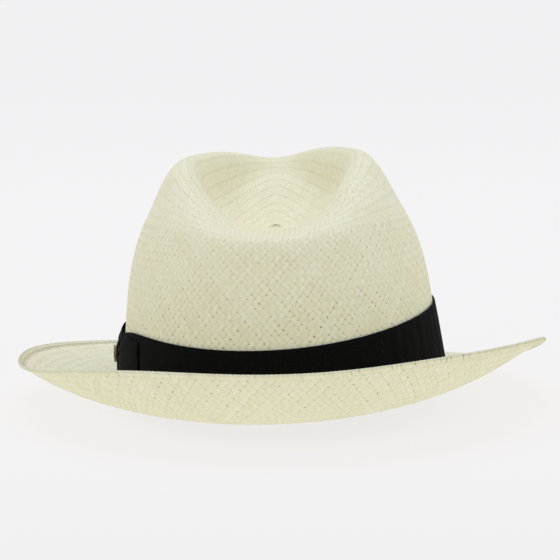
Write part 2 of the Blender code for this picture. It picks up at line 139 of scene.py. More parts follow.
def loft(angle, t):
    """Points of the smooth surface through the crown's sections."""
    knots = np.array(SECTION_POSITION)
    rings = crown_sections(angle)
    steps = np.diff(knots)[:, None, None]
    slopes = np.diff(rings, axis=0) / steps
    tangents = np.empty_like(rings)
    tangents[0] = slopes[0]
    tangents[1:-1] = (slopes[:-1] * steps[1:] + slopes[1:] * steps[:-1]) / (steps[1:] + steps[:-1])
    tangents[-1] = slopes[-1] * np.array([1, 1, 0])[:, None]
    i = int(np.clip(np.searchsorted(knots, t, side="right") - 1, 0, len(knots) - 2))
    h = knots[i + 1] - knots[i]
    u = (t - knots[i]) / h
    return ((2 * u**3 - 3 * u**2 + 1) * rings[i] + (u**3 - 2 * u**2 + u) * h * tangents[i]
            + (3 * u**2 - 2 * u**3) * rings[i + 1] + (u**3 - u**2) * h * tangents[i + 1])


def crown(angle, t):
    """Points of the crown's outer face, from the head opening (t = 0) to the dent's middle (t = 1).
    The ridge round the dent is softened by averaging it with the surface on either side."""
    reach = RIDGE_ROUNDING * max(0, 1 - ((t - RIDGE_POSITION) / RIDGE_SPREAD) ** 2) ** 2
    return (loft(angle, t - reach) + 2 * loft(angle, t) + loft(angle, t + reach)) / 4


def periodic(angle, values):
    """A smooth closed curve through evenly spaced values: its trigonometric interpolation."""
    n = len(values)
    spectrum = np.fft.rfft(values) / n
    total = spectrum[0].real + 0 * angle
    for k in range(1, len(spectrum)):
        weight = 1 if 2 * k == n else 2
        total = total + weight * (spectrum[k] * np.exp(1j * k * angle)).real
    return total


def brim(angle, distance):
    """Points of the brim's upper face, a distance (0 to 1) across it from the head opening."""
    across, up = HEAD_HALF_WIDTH, HEAD_HALF_LENGTH
    nx, ny = np.sin(angle) / across, np.cos(angle) / up
    size = np.hypot(nx, ny)
    nx, ny = nx / size, ny / size
    start = around_sides(angle, *(BRIM_START_SLOPE[k] for k in ("back", "side", "front")))
    end = periodic(angle, BRIM_SLOPE)
    run, rise = 0 * angle, 0 * angle
    for k in range(BRIM_STEPS):
        part = distance * (k + 0.5) / BRIM_STEPS
        slope = np.radians(start + (end - start) * part**BRIM_CURVE)
        run = run + np.cos(slope) * distance / BRIM_STEPS
        rise = rise + np.sin(slope) * distance / BRIM_STEPS
    return np.array([across * np.sin(angle) + nx * BRIM_WIDTH * run,
                     up * np.cos(angle) + ny * BRIM_WIDTH * run,
                     HEAD_ARCH * np.sin(angle) ** 2 + BRIM_WIDTH * rise])


BREAK_END = SECTION_POSITION[1] * BREAK_RADIUS / (CROWN_SECTIONS[0]["height"][0] * MM)


def brim_break(angle, u):
    """The rounded bend from the brim (u = 0) up into the crown (u = 1)."""
    low = brim(angle, BREAK_RADIUS / BRIM_WIDTH)
    corner = crown(angle, 0)
    high = crown(angle, BREAK_END)
    return (1 - u) ** 2 * low + 2 * u * (1 - u) * corner + u**2 * high


def oval_out(angle):
    """The level direction that points out of the head opening."""
    out = np.array([np.sin(angle) / HEAD_HALF_WIDTH, np.cos(angle) / HEAD_HALF_LENGTH, 0 * angle])
    return out / np.linalg.norm(out, axis=0)


def wall(angle, height, offset):
    """Points (..., 3) at a height above the head opening, an offset out of the crown's face."""
    angle, height, offset = np.broadcast_arrays(np.asarray(angle, float), height, offset)
    z = height + HEAD_ARCH * np.sin(angle) ** 2
    shape = angle.shape
    flat = angle.ravel()
    ladder = [crown(flat, t).reshape(3, *shape)
              for t in np.linspace(0, SECTION_POSITION[3], WALL_STEPS)]
    points = ladder[0].copy()
    for low, high in zip(ladder, ladder[1:]):
        part = np.clip((z - low[2]) / (high[2] - low[2]), 0, 1)
        points = np.where(z >= low[2], low + part * (high - low), points)
    points = points + offset * oval_out(angle)
    points[2] = z
    return np.moveaxis(points, 0, -1)


def arc_angle(centre, arc):
    """The angle that lies an arc length round the opening from a centre angle in degrees."""
    middle = math.radians(centre)
    speed = math.hypot(HEAD_HALF_WIDTH * math.cos(middle), HEAD_HALF_LENGTH * math.sin(middle))
    return middle + arc / speed


def turn_from(angle, degrees):
    """The signed angle from a direction in degrees."""
    return (angle - math.radians(degrees) + math.pi) % TAU - math.pi


def band_top(angle):
    """Height of the band's upper edge above the head opening."""
    away = turn_from(angle, BOW_ANGLE)
    dip = BAND_DIP * np.exp(-0.5 * (away / np.radians(np.where(away < 0, *BAND_DIP_REACH))) ** 2)
    return BAND_HEIGHT - BAND_SKEW * np.sin(angle) - BAND_SADDLE * np.cos(2 * angle) - dip


def wing_half_height(reach, half_heights, fan):
    """Half the height of a loop of the bow, at a distance from the knot's middle: it fans out
    between the two distances in fan."""
    start, stop = fan
    part = np.clip((reach - start) / (stop - start), 0, 1)
    low, high = half_heights
    return low + (high - low) * np.sin(part * math.pi / 2)


def inside(height, depth):
    """Offset of a layer on the sweatband's inner face, which leans off the straw as it rises."""
    part = (height - SWEATBAND_START) / SWEATBAND_HEIGHT
    return -(STRAW_THICKNESS + GAP + SWEATBAND_LEAN * part**2 + depth)


# ---------------------------------------------------------------- onto the table, as the CAD is

REST_TURN = np.array(Euler((REST_PITCH, REST_ROLL, 0)).to_matrix())


def rest_location():
    """The CAD badge's middle, less where the badge's middle is in the hat's own frame."""
    low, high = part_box("badge_plate")
    face = GAP + BAND_THICKNESS + 2 * GAP + WING_THICKNESS + GAP + KNOT_THICKNESS + GAP
    angle = np.array([math.radians(BOW_ANGLE)])
    middle = wall(angle, BOW_HEIGHT, face + BADGE_THICKNESS / 2)[0]
    return np.array((low + high) / 2) - REST_TURN @ middle


REST_LOCATION = rest_location()


def to_row(points):
    return points @ REST_TURN.T + REST_LOCATION


# ---------------------------------------------------------------- meshes

def unit(vectors):
    return vectors / np.maximum(np.linalg.norm(vectors, axis=-1, keepdims=True), 1e-12)


def quad_mesh(name, points, quads, material, attributes=None):
    """A shaded object from points in the hat's frame and faces of four corners."""
    mesh = bpy.data.meshes.new(name)
    mesh.vertices.add(len(points))
    mesh.vertices.foreach_set("co", to_row(points).astype(np.float32).ravel())
    mesh.loops.add(quads.size)
    mesh.loops.foreach_set("vertex_index", quads.astype(np.int32).ravel())
    mesh.polygons.add(len(quads))
    mesh.polygons.foreach_set("loop_start", np.arange(0, quads.size, 4, dtype=np.int32))
    mesh.update(calc_edges=True)
    mesh.validate()
    mesh.shade_smooth()
    for label, values in (attributes or {}).items():
        layer = mesh.attributes.new(label, "FLOAT_VECTOR", "POINT")
        layer.data.foreach_set("vector", values.astype(np.float32).ravel())
    mesh.materials.append(material)
    piece = bpy.data.objects.new(name, mesh)
    bpy.context.scene.collection.objects.link(piece)
    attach(piece, "root")
    return piece


FLAT_STRAND = np.array([(-1, 0), (-0.8, 1), (0.8, 1), (1, 0), (0.8, -1), (-0.8, -1)], float)
LENS_STRAND = np.array([(-1, 0), (0, 1), (1, 0), (0, -1)], float)


def strips(points, normals, half_width, half_thickness, profile, tone=0.5, closed=False):
    """Flat strands. points and normals are (strand, step, 3). Returns points, faces and fibre
    values: how far across in mm, how far along in mm, and the strand's tone."""
    if closed:
        tangent = np.roll(points, -1, axis=1) - np.roll(points, 1, axis=1)
    else:
        tangent = np.gradient(points, axis=1)
    side = unit(np.cross(tangent, normals))
    up = unit(np.cross(side, tangent))
    shape = points.shape[:2]
    half_width = np.broadcast_to(half_width, shape)
    half_thickness = np.broadcast_to(half_thickness, shape)
    across = half_width[..., None] * profile[:, 0]
    rise = half_thickness[..., None] * profile[:, 1]
    ring = (points[:, :, None] + side[:, :, None] * across[..., None]
            + up[:, :, None] * rise[..., None])
    sides = len(profile)
    index = np.arange(shape[0] * shape[1] * sides).reshape(*shape, sides)
    low = index if closed else index[:, :-1]
    high = np.roll(index, -1, axis=1) if closed else index[:, 1:]
    beside_high, beside_low = np.roll(high, -1, axis=2), np.roll(low, -1, axis=2)
    quads = [np.stack([low, high, beside_high, beside_low], -1).reshape(-1, 4)]
    if not closed:
        for j in range(1, sides // 2):
            corners = [0, 2 * j - 1, 2 * j, 2 * j + 1]
            quads.append(index[:, 0][:, corners])
            quads.append(index[:, -1][:, corners[::-1]])
    length = np.zeros(shape)
    length[:, 1:] = np.cumsum(np.linalg.norm(np.diff(points, axis=1), axis=2), axis=1)
    fibre = np.empty((*shape, sides, 3))
    fibre[..., 0] = across / MM
    fibre[..., 1] = length[..., None] / MM
    fibre[..., 2] = np.broadcast_to(np.asarray(tone, float).reshape(-1, 1, 1), (*shape, sides))
    return ring.reshape(-1, 3), np.concatenate(quads), fibre.reshape(-1, 3)


def joined(parts):
    """Several results of strips as one."""
    points, quads, fibres, start = [], [], [], 0
    for one, faces, fibre in parts:
        points.append(one)
        quads.append(faces + start)
        fibres.append(fibre)
        start += len(one)
    return np.concatenate(points), np.concatenate(quads), np.concatenate(fibres)


def slab(middle, half_thickness, closed=False):
    """A closed sheet of a given half thickness on either side of a grid (row, column, 3)."""
    if closed:
        along = np.roll(middle, -1, axis=1) - np.roll(middle, 1, axis=1)
    else:
        along = np.gradient(middle, axis=1)
    normal = unit(np.cross(along, np.gradient(middle, axis=0)))
    rows, columns = middle.shape[:2]
    half = np.broadcast_to(half_thickness, (rows, columns))[..., None]
    points = np.concatenate([face.reshape(-1, 3)
                             for face in (middle + normal * half, middle - normal * half)])
    front = np.arange(rows * columns).reshape(rows, columns)
    back = front + rows * columns

    def here(index):
        return index if closed else index[..., :-1]

    def beside(index):
        return np.roll(index, -1, axis=-1) if closed else index[..., 1:]

    def quads(*corners):
        return np.stack(corners, -1).reshape(-1, 4)

    low, high = front[:-1], front[1:]
    back_low, back_high = back[:-1], back[1:]
    faces = [
        quads(here(low), beside(low), beside(high), here(high)),
        quads(here(back_low), here(back_high), beside(back_high), beside(back_low)),
        quads(here(front[0]), here(back[0]), beside(back[0]), beside(front[0])),
        quads(here(front[-1]), beside(front[-1]), beside(back[-1]), here(back[-1])),
    ]
    if not closed:
        faces.append(quads(low[:, 0], high[:, 0], back_high[:, 0], back_low[:, 0]))
        faces.append(quads(low[:, -1], back_low[:, -1], back_high[:, -1], high[:, -1]))
    return points, np.concatenate(faces)


# ---------------------------------------------------------------- materials

def nodes_of(material):
    tree = material.node_tree
    return tree, tree.nodes["Principled BSDF"]


def new_material(name, colour, roughness, metallic=0.0, specular=0.5):
    made = bpy.data.materials.new(name)
    made.use_nodes = True
    shader = nodes_of(made)[1]
    shader.inputs["Base Color"].default_value = (*colour, 1)
    shader.inputs["Roughness"].default_value = roughness
    shader.inputs["Metallic"].default_value = metallic
    shader.inputs["Specular IOR Level"].default_value = specular
    return made


def add_node(tree, kind, **values):
    node = tree.nodes.new(kind)
    for label, value in values.items():
        if label in node.inputs:
            node.inputs[label].default_value = value
        else:
            setattr(node, label, value)
    return node


def ramp(tree, source, stops):
    """A colour ramp on a value: stops are (position, colour)."""
    node = tree.nodes.new("ShaderNodeValToRGB")
    while len(node.color_ramp.elements) < len(stops):
        node.color_ramp.elements.new(0.5)
    for element, (position, colour) in zip(node.color_ramp.elements, stops):
        element.position = position
        element.color = (*colour, 1)
    tree.links.new(source, node.inputs["Fac"])
    return node.outputs["Color"]


MIX_COLOUR_INPUTS = (6, 7)              # a Mix node's colour sockets: their names aren't unique
MIX_COLOUR_OUTPUT = 2


def multiply_colour(tree, first, second, amount):
    node = tree.nodes.new("ShaderNodeMix")
    node.data_type = "RGBA"
    node.blend_type = "MULTIPLY"
    node.inputs["Factor"].default_value = amount
    for socket, source in zip(MIX_COLOUR_INPUTS, (first, second)):
        tree.links.new(source, node.inputs[socket])
    return node.outputs[MIX_COLOUR_OUTPUT]


def math_node(tree, operation, first, second):
    node = tree.nodes.new("ShaderNodeMath")
    node.operation = operation
    for socket, value in zip(node.inputs, (first, second)):
        if isinstance(value, (int, float)):
            socket.default_value = value
        else:
            tree.links.new(value, socket)
    return node.outputs[0]


def bump(tree, shader, height, distance, strength):
    node = add_node(tree, "ShaderNodeBump", Distance=distance, Strength=strength)
    tree.links.new(height, node.inputs["Height"])
    tree.links.new(node.outputs["Normal"], shader.inputs["Normal"])


def texture(tree, kind="ShaderNodeTexNoise", **values):
    """A texture node laid on the piece's own coordinates."""
    place = tree.nodes.new("ShaderNodeTexCoord")
    node = add_node(tree, kind, **values)
    tree.links.new(place.outputs["Object"], node.inputs["Vector"])
    return node


def scaled(tree, value, factor, plus):
    """A value times a factor, plus a constant."""
    return math_node(tree, "ADD", math_node(tree, "MULTIPLY", value, factor), plus)


def straw_material(name, light, dark):
    """Bleached toquilla palm: each strand has its own tone and fine fibres along it."""
    made = new_material(name, light, 0.55, specular=0.35)
    tree, shader = nodes_of(made)
    fibre = add_node(tree, "ShaderNodeAttribute", attribute_name="fibre")
    parts = tree.nodes.new("ShaderNodeSeparateXYZ")
    tree.links.new(fibre.outputs["Vector"], parts.inputs[0])
    across, along, tone = parts.outputs[0], parts.outputs[1], parts.outputs[2]
    place = tree.nodes.new("ShaderNodeCombineXYZ")
    tree.links.new(math_node(tree, "MULTIPLY", across, 5.0), place.inputs[0])
    tree.links.new(math_node(tree, "MULTIPLY", along, 0.12), place.inputs[1])
    tree.links.new(math_node(tree, "MULTIPLY", tone, 40.0), place.inputs[2])
    threads = add_node(tree, "ShaderNodeTexNoise", Scale=1.0, Detail=3.0, Roughness=0.6)
    tree.links.new(place.outputs[0], threads.inputs["Vector"])
    patches = texture(tree, Scale=38.0, Detail=3.0, Roughness=0.55)
    mixed = scaled(tree, tone, 0.55, math_node(tree, "MULTIPLY", patches.outputs["Fac"], 0.45))
    base = ramp(tree, mixed, [(0.25, dark), (0.75, light)])
    grain = ramp(tree, threads.outputs["Fac"], [(0.3, (0.90, 0.88, 0.82)), (0.6, (1, 1, 1))])
    tree.links.new(multiply_colour(tree, base, grain, 0.7), shader.inputs["Base Color"])
    tree.links.new(scaled(tree, threads.outputs["Fac"], 0.25, 0.42), shader.inputs["Roughness"])
    bump(tree, shader, threads.outputs["Fac"], 0.06 * MM, 0.6)
    return made


def ribbon_material():
    """Black grosgrain: matt, with a little lint."""
    made = new_material("black_grosgrain", (0.003, 0.003, 0.003), 0.72, specular=0.08)
    tree, shader = nodes_of(made)
    lint = texture(tree, Scale=900.0, Detail=2.0)
    base = ramp(tree, lint.outputs["Fac"],
                [(0.35, (0.001, 0.001, 0.001)), (0.75, (0.004, 0.004, 0.0038))])
    tree.links.new(base, shader.inputs["Base Color"])
    bump(tree, shader, lint.outputs["Fac"], 0.05 * MM, 0.5)
    return made


def thread_material(name, colour):
    """Thread or plain cloth: one colour, fuzzed with a darker one."""
    made = new_material(name, colour, 0.6, specular=0.3)
    tree, shader = nodes_of(made)
    fuzz = texture(tree, Scale=2500.0, Detail=2.0)
    dark = tuple(0.75 * c for c in colour)
    base = ramp(tree, fuzz.outputs["Fac"], [(0.3, dark), (0.7, colour)])
    tree.links.new(base, shader.inputs["Base Color"])
    bump(tree, shader, fuzz.outputs["Fac"], 0.04 * MM, 0.6)
    return made


def leather_material(name, light, dark):
    """Vegetable-tanned leather with pores and slight patches."""
    made = new_material(name, light, 0.5, specular=0.4)
    tree, shader = nodes_of(made)
    pores = texture(tree, "ShaderNodeTexVoronoi", Scale=1100.0)
    patches = texture(tree, Scale=60.0, Detail=5.0, Roughness=0.6)
    base = ramp(tree, patches.outputs["Fac"], [(0.3, dark), (0.7, light)])
    spots = ramp(tree, pores.outputs["Distance"], [(0.05, (0.72, 0.68, 0.62)), (0.35, (1, 1, 1))])
    tree.links.new(multiply_colour(tree, base, spots, 0.6), shader.inputs["Base Color"])
    tree.links.new(scaled(tree, patches.outputs["Fac"], 0.25, 0.38), shader.inputs["Roughness"])
    height = scaled(tree, patches.outputs["Fac"], 1.5, pores.outputs["Distance"])
    bump(tree, shader, height, 0.08 * MM, 0.7)
    return made


def brass_material():
    """Aged brass: brighter where it is rubbed, browner in the hollows."""
    made = new_material("aged_brass", (0.55, 0.40, 0.18), 0.32, metallic=1.0)
    tree, shader = nodes_of(made)
    wear = texture(tree, Scale=420.0, Detail=5.0, Roughness=0.65)
    base = ramp(tree, wear.outputs["Fac"], [(0.35, (0.11, 0.09, 0.04)), (0.65, (0.34, 0.29, 0.15))])
    tree.links.new(base, shader.inputs["Base Color"])
    tree.links.new(scaled(tree, wear.outputs["Fac"], 0.3, 0.2), shader.inputs["Roughness"])
    bump(tree, shader, wear.outputs["Fac"], 0.03 * MM, 0.5)
    return made


STRAW = straw_material("toquilla_straw", (0.915, 0.90, 0.66), (0.85, 0.825, 0.56))
RIBBON = ribbon_material()
PALE_THREAD = thread_material("straw_thread", (0.92, 0.90, 0.70))
BLACK_THREAD = thread_material("black_thread", (0.02, 0.019, 0.018))
LEATHER = leather_material("tan_leather", (0.36, 0.20, 0.095), (0.27, 0.14, 0.06))
BRASS = brass_material()
LABEL_CLOTH = thread_material("label_cloth", (0.80, 0.79, 0.74))


# ---------------------------------------------------------------- straw, woven strand by strand

COLUMNS = 720                           # the straw's grid, round the hat
BRIM_ROWS = 71
BREAK_ROWS = 9
CROWN_ROWS = 281


def straw_grid():
    """The middle of the straw's thickness as a grid from the brim's edge to the dent's middle, its
    normals, how far each row is from the edge, and how far the crown starts from the edge."""
    angle = np.arange(COLUMNS) * TAU / COLUMNS
    rows = [brim(angle, d) for d in np.linspace(1, BREAK_RADIUS / BRIM_WIDTH, BRIM_ROWS)]
    rows += [brim_break(angle, u) for u in np.linspace(0, 1, BREAK_ROWS)[1:]]
    first_crown = len(rows) - 1
    rows += [crown(angle, t) for t in np.linspace(BREAK_END, 1, CROWN_ROWS)[1:]]
    points = np.array(rows).transpose(0, 2, 1)
    row_steps = np.linalg.norm(np.diff(points, axis=0), axis=2).mean(axis=1)
    reach = np.concatenate([[0], np.cumsum(row_steps)])
    beside = np.roll(points, -1, axis=1) - np.roll(points, 1, axis=1)
    normal = unit(np.cross(np.gradient(points, axis=0), beside))
    normal[-1] = unit(normal[-2].mean(axis=0))
    return points - normal * STRAW_THICKNESS / 2, normal, reach, reach[first_crown]


STRAW_MIDDLE, STRAW_NORMAL, STRAW_REACH, CROWN_REACH = straw_grid()
LAST_REACH = STRAW_REACH[-1]


def on_straw(reach, angle):
    """Points and normals of the straw's middle at a reach from the brim's edge."""
    row = np.interp(reach, STRAW_REACH, np.arange(len(STRAW_REACH)))
    low = np.clip(row.astype(int), 0, len(STRAW_REACH) - 2)
    part = (row - low)[..., None]
    column = (angle / TAU * COLUMNS) % COLUMNS
    left = column.astype(int) % COLUMNS
    right = (left + 1) % COLUMNS
    turn = (column - np.floor(column))[..., None]

    def read(grid):
        lower = grid[low, left] * (1 - turn) + grid[low, right] * turn
        upper = grid[low + 1, left] * (1 - turn) + grid[low + 1, right] * turn
        return lower * (1 - part) + upper * part

    return read(STRAW_MIDDLE), unit(read(STRAW_NORMAL))


WANDER_WAVES = ((3, 31, 0.4), (7, 17, 2.1), (13, 23, 4.4), (19, 11, 1.2))


def wander(reach, angle):
    """Slow, seamless unevenness over the hat, between about -1 and 1. Each wave has its number
    round the hat, its length up it in mm, and its phase."""
    total = 0
    for turns, wave, phase in WANDER_WAVES:
        total = total + np.sin(turns * angle + reach / (wave * MM) * TAU + phase)
    return total / 2.5


STRAND_SHIFT = 0.05                     # how unevenly strands are spaced, of their spacing
LIFT_SPREAD = 0.10                      # and lifted, of their lift
STRAND_WIDTH_SPREAD = 0.010             # and wide, from one to the next, of their spacing
STEP_WIDTH_SPREAD = 0.008               # and along each
HOLE_WANDER = 0.25                      # how unevenly the holes are wide
WIDEST_SHARE = 1.03
CROSSING_SHARPNESS = 1.6                # how abruptly a strand goes from over to under
END_TAPER = 0.6 * MM
STEPS_IN_PERIOD = 4
MIDDLE_TONES = (0.3, 0.7)


def strand_tones(rng, count):
    return np.clip(0.5 + 0.2 * rng.standard_normal(count), 0, 1)


def strands(count, start, end, period, lean, rng, lift, half_thickness, holes, end_holes=0.0):
    """One of the two families of diagonal strands in a plain weave, between two reaches. Each goes
    over and under once a period. holes is how much narrower a strand is between its crossings, and
    end_holes how much narrower it is at its ends."""
    steps = math.ceil((end - start) / period * STEPS_IN_PERIOD)
    phase = np.arange(steps + 1) / STEPS_IN_PERIOD
    phase[-1] = (end - start) / period
    number = np.arange(count)
    shift = STRAND_SHIFT * rng.standard_normal(count)[:, None] * np.ones(len(phase))
    angle = TAU * (number[:, None] + shift - lean * phase) / count
    reach = np.broadcast_to(start + phase * period, angle.shape)
    points, normals = on_straw(reach, angle)
    wave = lean * np.tanh(CROSSING_SHARPNESS * np.cos(TAU * phase)) / math.tanh(CROSSING_SHARPNESS)
    raised = lift * (wave + LIFT_SPREAD * rng.standard_normal(angle.shape))
    points = points + normals * raised[..., None]
    step = TAU / count
    across = (on_straw(reach, angle + step / 2)[0] - on_straw(reach, angle - step / 2)[0])
    side = unit(np.cross(np.gradient(points, axis=1), normals))
    spacing = np.abs((across * side).sum(axis=-1))
    share = 1.0 - holes * 0.5 * (1 - np.cos(2 * TAU * phase))
    share = share + STRAND_WIDTH_SPREAD * rng.standard_normal(count)[:, None]
    share = share + STEP_WIDTH_SPREAD * rng.standard_normal(angle.shape)
    share = share - HOLE_WANDER * holes * wander(reach, angle)
    to_end = np.minimum(reach - start, end - reach)
    share = share - end_holes * np.clip(1 - to_end / END_TAPER, 0, 1)
    tone = strand_tones(rng, count)
    return strips(points, normals, spacing * np.minimum(share, WIDEST_SHARE) / 2, half_thickness,
                  FLAT_STRAND, tone)


LEANS = {"right_leaning": 1, "left_leaning": -1}
BRIM_STRANDS = 206
BRIM_PERIOD = 5.4 * MM
BRIM_TOP = CROWN_REACH + 4 * MM
SIDE_STRANDS = 136
SIDE_PERIOD = 4.3 * MM
SIDE_START = CROWN_REACH + 2 * MM
TIP_START = CROWN_REACH + 88 * MM
TIP_END = LAST_REACH - 5 * MM
SIDE_LAP = 0.6 * MM                     # how far the side's strands run under the tip's first ring
RING_STEP = 5.5 * MM
TIP_CELL = 2.75 * MM
EDGE_CLEARANCE = 0.7 * MM
STRAND_LIFT = 0.13 * MM
STRAND_HALF_THICKNESS = 0.12 * MM
TIP_LIFT = 0.045 * MM
TIP_HALF_THICKNESS = 0.06 * MM
BRIM_HOLES = 0.05                       # shares of a strand's width
SIDE_HOLES = 0.11
TIP_HOLES = 0.03
RING_HOLES = 0.22


def woven_piece(name, parts):
    points, quads, fibre = joined(parts)
    piece = quad_mesh(name, points, quads, STRAW, {"fibre": fibre})
    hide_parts("straw_body")


def make_brim_and_side():
    for label, lean in LEANS.items():
        rng = np.random.default_rng(10 + lean)
        woven_piece(f"brim_strands_{label}", [strands(
            BRIM_STRANDS, EDGE_CLEARANCE, BRIM_TOP, BRIM_PERIOD, lean, rng, STRAND_LIFT,
            STRAND_HALF_THICKNESS, BRIM_HOLES)])
        rng = np.random.default_rng(20 + lean)
        woven_piece(f"crown_side_strands_{label}", [strands(
            SIDE_STRANDS, SIDE_START, TIP_START + SIDE_LAP, SIDE_PERIOD, lean, rng, STRAND_LIFT,
            STRAND_HALF_THICKNESS, SIDE_HOLES)])


def girth(reach):
    """Length round the straw at a reach from the brim's edge."""
    angle = np.arange(COLUMNS) * TAU / COLUMNS
    ring = on_straw(np.full(COLUMNS, reach), angle)[0]
    return np.linalg.norm(np.roll(ring, -1, axis=0) - ring, axis=1).sum()


def even_count(length, cell):
    """An even number of strands, about a cell apart, so that over and under meet all round."""
    return max(8, 2 * round(length / cell / 2))


def tip_rings():
    count = round((TIP_END - TIP_START) / RING_STEP)
    return np.linspace(TIP_START, TIP_END, count + 1)


def make_tip():
    """The tip is woven finer, in rings where strands are added."""
    rings = tip_rings()
    for label, lean in LEANS.items():
        rng = np.random.default_rng(30 + lean)
        zones = []
        for low, high in zip(rings, rings[1:]):
            count = even_count(girth((low + high) / 2), TIP_CELL)
            zones.append(strands(count, low, high, TIP_CELL, lean, rng, TIP_LIFT,
                                 TIP_HALF_THICKNESS, TIP_HOLES, RING_HOLES))
        woven_piece(f"tip_strands_{label}", zones)


TWIST_DEPTH = 0.05 * MM
TWIST_RISE = 0.03 * MM
TWIST_SPREAD = 0.12 * MM
TWINE_HALF = (0.17 * MM, 0.08 * MM)     # half width and half thickness
TWINE_STEPS = 3                         # on each strand it passes


def twined_ring(reach, count, rng):
    """Two strands twisted round each other, where a ring of new strands joins the weave."""
    steps = TWINE_STEPS * count
    angle = np.arange(steps) * TAU / steps
    reaches = np.full(steps, reach)
    points, normals = on_straw(reaches, angle)
    inward = unit(on_straw(reaches + 0.5 * MM, angle)[0] - on_straw(reaches - 0.5 * MM, angle)[0])
    pair, tones = [], []
    for half in (0, math.pi):
        twist = count * angle / 2 + half
        pair.append(points + normals * (TWIST_DEPTH * np.cos(twist) + TWIST_RISE)[:, None]
                    + inward * (TWIST_SPREAD * np.sin(twist))[:, None])
        tones.append(rng.uniform(*MIDDLE_TONES))
    return strips(np.array(pair), np.array([normals, normals]), *TWINE_HALF, LENS_STRAND,
                  np.array(tones), closed=True)


def make_rings():
    rng = np.random.default_rng(40)
    woven_piece("tip_twined_rings", [twined_ring(r, even_count(girth(r), TIP_CELL), rng)
                                     for r in tip_rings()])


ROSETTE_STRANDS = 10
ROSETTE_PITCH = 1.7 * MM
ROSETTE_HALF_LENGTH = 8.2 * MM
ROSETTE_LIFT = 0.08 * MM
ROSETTE_RISE = 0.14 * MM
ROSETTE_HALF_THICKNESS = 0.15 * MM
ROSETTE_HALF_SHARE = 0.46               # half a strand's width, of the pitch


def make_rosette():
    """The small square of plain weave that the hat is started from, in the middle of the tip."""
    rng = np.random.default_rng(50)
    count, pitch = ROSETTE_STRANDS, ROSETTE_PITCH
    centre, normal = STRAW_MIDDLE[-1, 0], STRAW_NORMAL[-1, 0]
    back = unit(np.cross(normal, np.array([1.0, 0, 0])))
    beside = unit(np.cross(back, normal))
    run = np.linspace(-ROSETTE_HALF_LENGTH, ROSETTE_HALF_LENGTH, 4 * count + 1)
    parts = []
    for one, other, sign in ((beside, back, 1), (back, beside, -1)):
        paths = []
        for k in range(count):
            place = (k - (count - 1) / 2) * pitch
            wave = sign * (-1) ** k * np.sin(run / pitch * math.pi + math.pi * count / 2)
            paths.append(centre + np.outer(run, one) + other * place
                         + np.outer(ROSETTE_LIFT * wave + ROSETTE_RISE, normal))
        paths = np.array(paths)
        parts.append(strips(paths, np.broadcast_to(normal, paths.shape), ROSETTE_HALF_SHARE * pitch,
                            ROSETTE_HALF_THICKNESS, LENS_STRAND, rng.uniform(*MIDDLE_TONES, count)))
    woven_piece("tip_rosette", parts)


EDGE_RADIUS = 0.60 * MM
EDGE_LAP = 2.3 * MM
EDGE_BEND = 0.3                         # the part of a turned strand's half length that is the bend
EDGE_SINK = 0.5                         # how much of its height the lap loses towards its end
EDGE_LEAN = 0.9                         # strands it leans over, from its middle to its end
EDGE_BULGE = 0.1 * MM
EDGE_HALF_SHARE = 0.47                  # half a strand's width, of the pitch
EDGE_HALF_THICKNESS = 0.14 * MM
EDGE_STITCHES = 240
EDGE_STITCH_HALF = (0.22 * MM, 0.16 * MM)


def make_turned_edge():
    """Strand ends turned over the brim's edge and laid back along both faces."""
    rng = np.random.default_rng(60)
    count = 2 * BRIM_STRANDS
    run = np.linspace(-1, 1, 13)
    bend = np.clip(run / EDGE_BEND, -1, 1) * math.pi / 2
    laid = np.clip(np.abs(run) - EDGE_BEND, 0, None) / (1 - EDGE_BEND)
    inset = EDGE_RADIUS * (1 - np.cos(bend)) + laid * EDGE_LAP
    rise = EDGE_RADIUS * np.sin(bend) * (1 - EDGE_SINK * laid)
    number = np.arange(count)[:, None] + 0.1 * rng.standard_normal(count)[:, None]
    angle = TAU * (number + EDGE_LEAN * run) / count
    reach = np.broadcast_to(inset, angle.shape)
    points, normals = on_straw(reach, angle)
    outward = unit(points - on_straw(reach + 1 * MM, angle)[0])
    bulge = np.where(np.abs(run) < EDGE_BEND, EDGE_BULGE, 0)
    points = points + normals * rise[:, None] + outward * bulge[:, None]
    facing = unit(normals * np.sin(bend)[:, None] + outward * np.cos(bend)[:, None])
    pitch = girth(0) / count
    tone = strand_tones(rng, count)
    woven_piece("brim_turned_edge", [strips(points, facing, EDGE_HALF_SHARE * pitch,
                                            EDGE_HALF_THICKNESS, FLAT_STRAND, tone)])


def stitch_row(name, node, points, normals, half, thread):
    """A row of single stitches in place of the CAD's plain row."""
    points, quads, fibre = strips(points, normals, *half, FLAT_STRAND)
    piece = quad_mesh(name, points, quads, thread, {"fibre": fibre})
    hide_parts(node)


def make_edge_stitches():
    rng = np.random.default_rng(70)
    count = EDGE_STITCHES
    run = np.linspace(-1, 1, 5)
    shift = 0.03 * rng.standard_normal(count)[:, None]
    angle = TAU * (np.arange(count)[:, None] + 0.32 * run + shift) / count
    reach = np.full(angle.shape, EDGE_STITCH_INSET) + 0.1 * MM * rng.standard_normal(count)[:, None]
    points, normals = on_straw(reach, angle)
    rise = 0.45 * MM - 0.35 * MM * run**4
    stitch_row("brim_edge_stitches", "brim_edge_stitching", points + normals * rise[:, None],
               normals, EDGE_STITCH_HALF, PALE_THREAD)


# ---------------------------------------------------------------- ribbon band and bow

